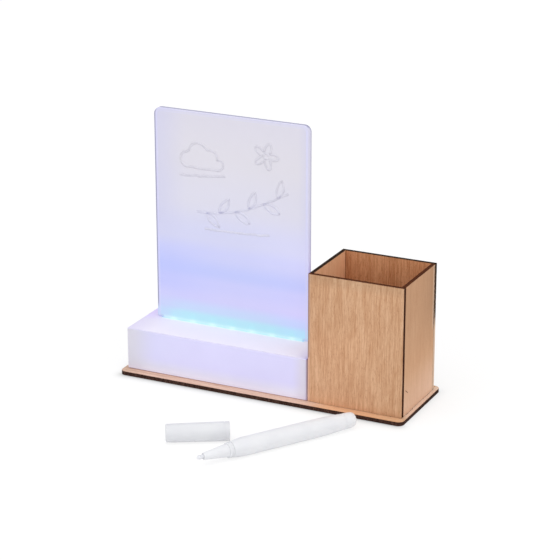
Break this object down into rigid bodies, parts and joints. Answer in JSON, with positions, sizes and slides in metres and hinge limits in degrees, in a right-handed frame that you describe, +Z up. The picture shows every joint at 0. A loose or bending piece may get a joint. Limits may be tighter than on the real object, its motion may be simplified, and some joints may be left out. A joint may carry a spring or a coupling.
{
  "type": "led writing board",
  "caption": "Desk writing board: an upright frosted panel lit from a low light box, beside an open wooden pen holder on a shared base plate, with a marker lying uncapped.",
  "frame": {"origin": "middle of the base plate's underside, on the table", "axes": "+Z up, +X from the light box towards the pen holder, -Y towards the person who writes on the panel"},
  "size_m": [0.23, 0.1979, 0.2003],
  "materials": {
    "plate_wood": "matte",
    "holder_wood": "matte",
    "white_shell": "satin",
    "white_inner": "matte",
    "frosted_acrylic": "frosted",
    "zinc": "plated",
    "strip_film": "satin",
    "lamp_body": "satin",
    "circuit_green": "satin",
    "chip_black": "matte",
    "socket_steel": "satin",
    "button_grey": "matte",
    "cell_wrap": "foil",
    "foam_grey": "foam",
    "lead_red": "satin",
    "lead_black": "satin",
    "marker_white": "satin",
    "nib_felt": "felt",
    "reservoir_fibre": "fibre"
  },
  "bodies": {
    "stand": {"base_plate": "plate_wood", "holder_front_board": "holder_wood", "holder_back_board": "holder_wood", "holder_left_board": "holder_wood", "holder_right_board": "holder_wood", "housing_cover": "white_shell", "housing_tray": "white_inner", "housing_screw_1": "zinc", "housing_screw_2": "zinc", "housing_screw_3": "zinc", "housing_screw_4": "zinc", "led_rail": "white_inner", "led_strip": "strip_film", "led_1": "lamp_body", "led_2": "lamp_body", "led_3": "lamp_body", "led_4": "lamp_body", "led_5": "lamp_body", "led_6": "lamp_body", "led_7": "lamp_body", "control_board": "circuit_green", "board_screw_left": "zinc", "board_screw_right": "zinc", "driver_chip": "chip_black", "driver_coil": "chip_black", "usb_socket": "socket_steel", "usb_tongue": "chip_black", "switch_body": "chip_black", "battery_cell": "cell_wrap", "battery_pad": "foam_grey", "led_lead_positive": "lead_red", "led_lead_negative": "lead_black", "cell_lead_positive": "lead_red", "cell_lead_negative": "lead_black"},
    "panel": {"writing_panel": "frosted_acrylic"},
    "button": {"power_button": "button_grey"},
    "marker": {"marker_nib": "nib_felt", "marker_section": "marker_white", "marker_barrel": "marker_white", "marker_reservoir": "reservoir_fibre", "marker_tail_plug": "marker_white"},
    "cap": {"marker_cap": "marker_white"}
  },
  "joints": [
    {"name": "panel_lift", "type": "slide", "parent": "stand", "child": "panel", "axis": [0, 0, 1], "range_m": [0, 0.03]},
    {"name": "button_press", "type": "slide", "parent": "stand", "child": "button", "axis": [0, -1, 0], "range_m": [0, 0.0008], "stiffness_N_per_m": 800},
    {"name": "marker_lift", "type": "slide", "parent": "stand", "child": "marker", "axis": [0, 0, 1], "range_m": [0, 0.1]},
    {"name": "cap_lift", "type": "slide", "parent": "stand", "child": "cap", "axis": [0, 0, 1], "range_m": [0, 0.1]}
  ]
}
